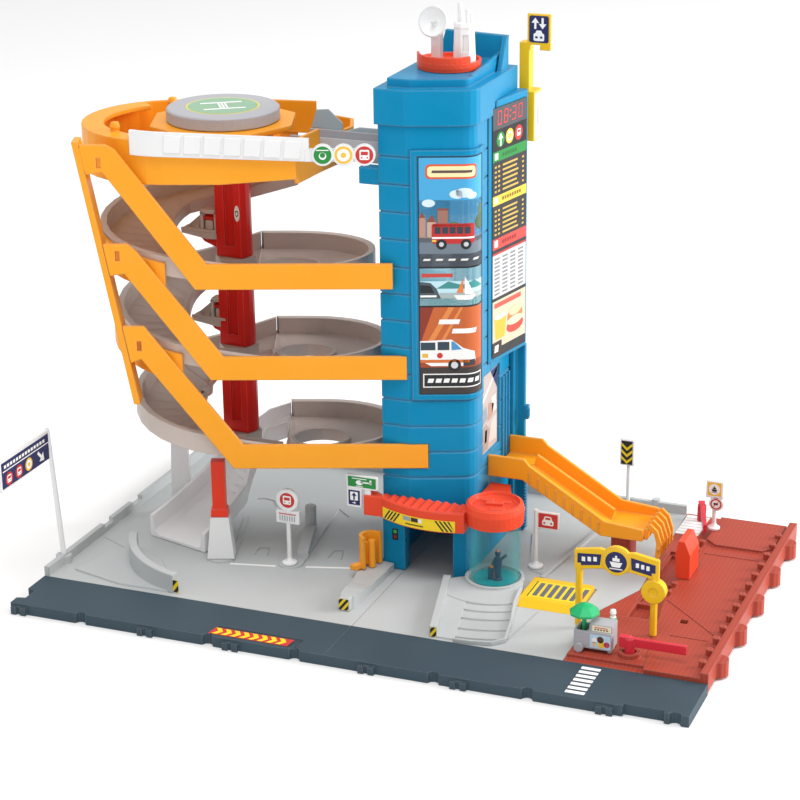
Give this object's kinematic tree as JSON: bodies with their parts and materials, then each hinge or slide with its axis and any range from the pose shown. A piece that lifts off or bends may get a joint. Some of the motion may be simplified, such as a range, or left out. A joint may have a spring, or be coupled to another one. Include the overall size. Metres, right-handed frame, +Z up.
{
  "type": "toy parking garage",
  "caption": "Toy parking garage: tower with hand elevator, three-turn spiral ramp, ring deck with helipad, gangway and small harbour.",
  "frame": {"origin": "middle of the base on the table, on a rib under the right base panel", "axes": "+X to the right along the base's long front, +Y to the back, +Z up"},
  "size_m": [0.4935, 0.3134, 0.4018],
  "materials": {
    "slate": "moulded, semi-gloss",
    "panel_grey": "moulded, semi-gloss",
    "brick_red": "moulded, semi-gloss",
    "blue": "moulded, semi-gloss",
    "orange_yellow": "moulded, semi-gloss",
    "coral": "moulded, semi-gloss",
    "warm_grey": "moulded, semi-gloss",
    "red": "moulded, semi-gloss",
    "white": "moulded, semi-gloss",
    "mid_grey": "moulded, semi-gloss",
    "yellow": "moulded, semi-gloss",
    "crimson": "moulded, semi-gloss",
    "green": "moulded, semi-gloss",
    "clear_teal": "clear tinted moulding",
    "navy": "moulded, semi-gloss"
  },
  "bodies": {
    "garage": {"band_1": "orange_yellow", "band_2": "orange_yellow", "band_3": "orange_yellow", "base_panel_left": "panel_grey", "base_panel_right": "panel_grey", "boat_sign": "white", "booth_glass": "clear_teal", "bridge_tray": "mid_grey", "bus_stop_sign": "white", "canopy": "coral", "cart_body": "mid_grey", "cart_umbrella": "green", "cart_vendor": "white", "chevron_sign": "white", "column_collar_1": "warm_grey", "column_collar_2": "warm_grey", "column_collar_3": "warm_grey", "column_lower": "red", "column_middle": "red", "column_upper": "red", "display_panel": "blue", "dock_base": "brick_red", "front_post": "white", "front_post_top": "red", "front_road_left": "slate", "front_road_right": "slate", "gangway": "orange_yellow", "gangway_claw": "orange_yellow", "gangway_column": "brick_red", "hatch_plate": "yellow", "left_sign": "white", "name_banner": "white", "platform_1": "warm_grey", "platform_2": "warm_grey", "platform_3": "warm_grey", "poster_frame": "blue", "rear_post": "white", "ring_deck": "orange_yellow", "seaport_arch": "yellow", "slide": "white", "taxi_sign": "white", "tower_cap": "blue", "tower_front_shell": "blue", "tower_rear_shell": "blue", "traveller_figure": "navy", "trough_1": "warm_grey", "trough_2": "warm_grey", "trough_3": "warm_grey"},
    "lift": {"elevator_car": "mid_grey", "elevator_handle": "yellow"},
    "turret": {"turret_ring": "coral", "radar_dish": "white", "control_tower": "white"},
    "helipad": {"helipad_disc": "mid_grey"},
    "side_gate": {"portal_side_gate": "orange_yellow"},
    "front_barrier_arm": {"front_barrier": "crimson"},
    "rear_barrier_arm": {"rear_barrier": "crimson"},
    "boat_gate_flap": {"boat_gate": "coral"},
    "cart_wheel_a": {"cart_wheel_1": "mid_grey"},
    "cart_wheel_b": {"cart_wheel_2": "mid_grey"}
  },
  "joints": [
    {"name": "elevator_slide", "type": "slide", "parent": "garage", "child": "lift", "axis": [0, 0, 1], "range_m": [-0.285, 0]},
    {"name": "turret_spin", "type": "hinge", "parent": "garage", "child": "turret", "pos_m": [0.0114, 0.0366, 0.3583], "axis": [0, 0, 1], "continuous": true},
    {"name": "helipad_spin", "type": "hinge", "parent": "garage", "child": "helipad", "pos_m": [-0.14128, 0.00295, 0.3183], "axis": [0, 0, 1], "continuous": true},
    {"name": "side_gate_hinge", "type": "hinge", "parent": "garage", "child": "side_gate", "pos_m": [-0.024, -0.027, 0.0136], "axis": [0, 0, 1], "range_deg": [-40, 60]},
    {"name": "front_barrier_hinge", "type": "hinge", "parent": "garage", "child": "front_barrier_arm", "pos_m": [0.183, -0.092, 0.0109], "axis": [0, 0, 1], "range_deg": [-90, 60]},
    {"name": "rear_barrier_hinge", "type": "hinge", "parent": "garage", "child": "rear_barrier_arm", "pos_m": [0.169, 0.145, 0.0079], "axis": [0, 0, 1], "range_deg": [-90, 0]},
    {"name": "boat_gate_hinge", "type": "hinge", "parent": "garage", "child": "boat_gate_flap", "pos_m": [0.1895, 0.045, 0.0109], "axis": [0, 1, 0], "range_deg": [0, 85]},
    {"name": "cart_wheel_a_spin", "type": "hinge", "parent": "garage", "child": "cart_wheel_a", "pos_m": [0.1505, -0.09815, 0.0136], "axis": [0, 1, 0], "continuous": true},
    {"name": "cart_wheel_b_spin", "type": "hinge", "parent": "garage", "child": "cart_wheel_b", "pos_m": [0.1505, -0.08135, 0.0136], "axis": [0, 1, 0], "continuous": true}
  ]
}
